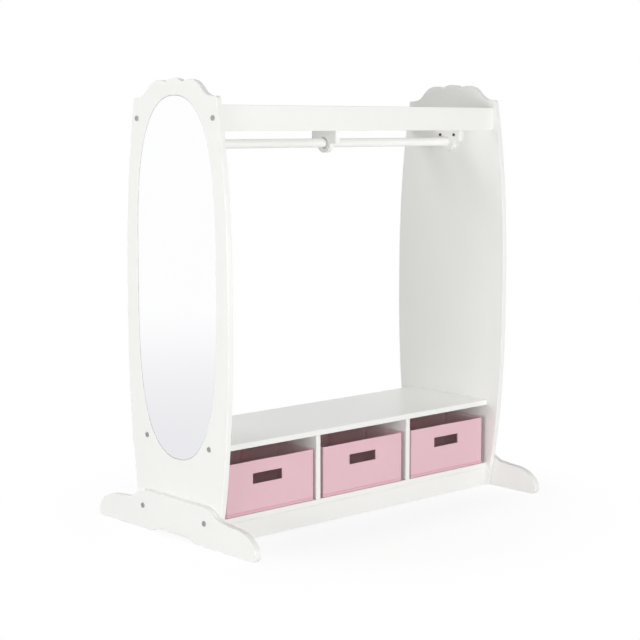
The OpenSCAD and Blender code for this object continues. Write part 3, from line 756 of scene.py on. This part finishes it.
def makeFloor():  # the camera sees it white but for the shadow, bounced light sees it greyer, and mirrors see painted shade on it, greyer towards the middle
    material = bpy.data.materials.new("studioFloor")
    material.use_nodes = True
    tree = material.node_tree
    tree.nodes.clear()
    out = tree.nodes.new("ShaderNodeOutputMaterial")
    path = tree.nodes.new("ShaderNodeLightPath")
    away = put(tree, "ShaderNodeVectorMath", {"operation": "LENGTH"}, i0=objectPlace(tree)).outputs["Value"]
    close = remap(tree, away, studio["far"], studio["near"], way="SMOOTHSTEP")
    shadeFading = remap(tree, away, studio["mirroredNear"], studio["mirroredFar"], way="SMOOTHSTEP")
    shaded = addShaders(tree, diffuse(tree, studio["shadow"]), emission(tree, white, studio["glow"]))
    shown = mixShaders(tree, close, emission(tree, white), shaded)
    bounced = addShaders(tree, diffuse(tree, studio["bounce"]), emission(tree, white, studio["floorLight"]))
    # painted shade for mirrors: the floor glows grey near the middle and white far off
    reflectedShade = emission(tree, blendColor(tree, shadeFading, studio["mirrored"], white))
    unseen = mixShaders(tree, mirrorRay(tree, path), bounced, reflectedShade)
    setInputs(tree, out, Surface=mixShaders(tree, path.outputs["Is Camera Ray"], unseen, shown))
    return material


bm = bmesh.new()
bmesh.ops.create_grid(bm, x_segments=1, y_segments=1, size=studio["floorHalf"])
floorMesh = meshFrom(bm, "floor")
floorMesh.materials.append(makeFloor())
floor = newObject("floor", floorMesh)

world = bpy.data.worlds.new("studio")
bpy.context.scene.world = world
world.use_nodes = True
tree = world.node_tree
tree.nodes.clear()
worldOut = tree.nodes.new("ShaderNodeOutputWorld")
path = tree.nodes.new("ShaderNodeLightPath")
seen = calc(tree, "MAXIMUM", path.outputs["Is Camera Ray"], mirrorRay(tree, path))
strength = put(tree, "ShaderNodeMix", {"data_type": "FLOAT"}, i0=seen, i2=studio["sky"], i3=1.0).outputs[0]
sky = put(tree, "ShaderNodeBackground", Color=white, Strength=strength).outputs[0]
setInputs(tree, worldOut, Surface=sky)

lamps = {
    "front": {"place": (0.3, -4.2, 0.70), "aim": (0.1, 0, 0.4), "size": (3.0, 0.6), "energy": 86.5},
    "high": {"place": (-2.6, -3.7, 1.20), "aim": (0.1, 0, 0.2), "size": (1.6, 0.3), "energy": 20},
    "side": {"place": (-5.0, 0.3, 0.5), "aim": (-0.5, 0, 0.55), "size": (2.2, 0.9), "energy": 36},
    "sideFront": {"place": (-5.0, -1.3, 0.5), "aim": (-0.5, 0, 0.55), "size": (1.6, 0.9), "energy": 77},
    "back": {"place": (-1.1, 2.4, 3.4), "aim": (-0.5, 0, 0.3), "size": (2.6, 1.8), "energy": 64},
    "top": {"place": (0.4, -0.4, 4.2), "aim": (0, 0, 0), "size": (1.6, 1.0), "energy": 15.5},
    "fill": {"place": (3.9, 3.4, 0.6), "aim": (0, 0, 0.55), "size": (2.8, 0.9), "energy": 40.5,
             "shine": False},
}
for name, lamp in lamps.items():
    data = bpy.data.lights.new(name, "AREA")
    data.shape = "RECTANGLE"
    data.size, data.size_y = lamp["size"]
    data.energy = lamp["energy"]
    light = newObject(name, data)
    light.location = lamp["place"]
    light.visible_glossy = lamp.get("shine", True)
    light.rotation_euler = (Vector(lamp["aim"]) - light.location).to_track_quat("-Z", "Y").to_euler()

shot = {
    "place": (-2.92566, -3.17105, 1.07276), "toward": (0.670109, 0.731617, -0.125264), "lens": 86.97,
    "sensor": 36, "reach": 200,
}
cameraData = bpy.data.cameras.new("camera")
cameraData.lens = shot["lens"]
cameraData.sensor_width = shot["sensor"]
cameraData.clip_end = shot["reach"]
camera = newObject("camera", cameraData)
camera.location = shot["place"]
camera.rotation_euler = Vector(shot["toward"]).to_track_quat("-Z", "Y").to_euler()
bpy.context.scene.camera = camera
bpy.context.scene.view_settings.view_transform = "Standard"
print("studio ready")
